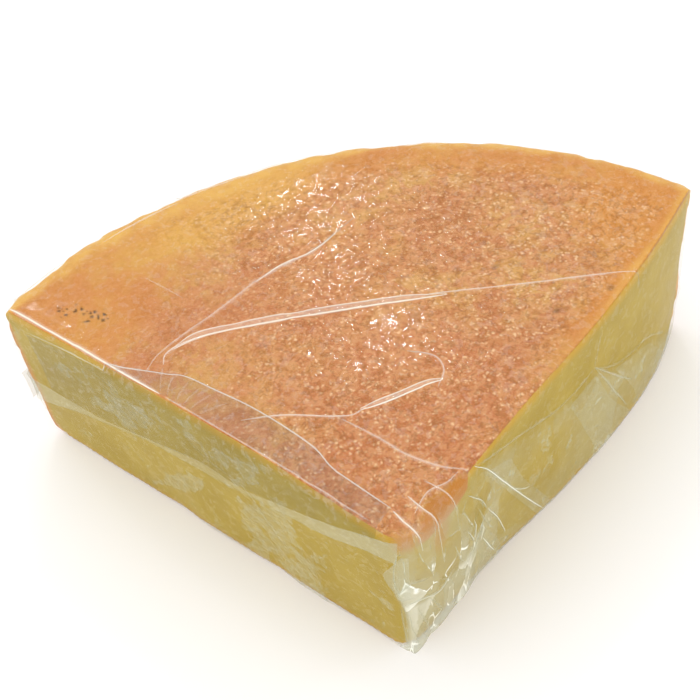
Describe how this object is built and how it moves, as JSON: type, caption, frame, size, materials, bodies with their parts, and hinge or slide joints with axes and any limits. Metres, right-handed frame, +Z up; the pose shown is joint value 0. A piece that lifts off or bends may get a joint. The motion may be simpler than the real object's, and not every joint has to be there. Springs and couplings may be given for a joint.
{
  "type": "film-wrapped quarter of a cheese wheel",
  "caption": "Wedge cut from a washed-rind cheese wheel, lying on its flat base and wrapped in one sheet of clear film that is lapped on a cut face.",
  "frame": {"origin": "centre of the object's box, on the flat underside that it rests on", "axes": "+Z up; the wedge's thin tip points to -Y and the curved heel, the wheel's outside, to +Y; the lapped cut face looks to -X and the slack cut face to +X"},
  "size_m": [0.247, 0.171, 0.0764],
  "materials": {
    "cheese": "orange-pink pitted washed rind over pale yellow smooth paste, slightly oily",
    "film": "clear glossy cling film with creases, milky where it hangs slack or lies double"
  },
  "bodies": {
    "root": {"cheese_wedge": "cheese", "film_wrap": "film"}
  },
  "joints": []
}
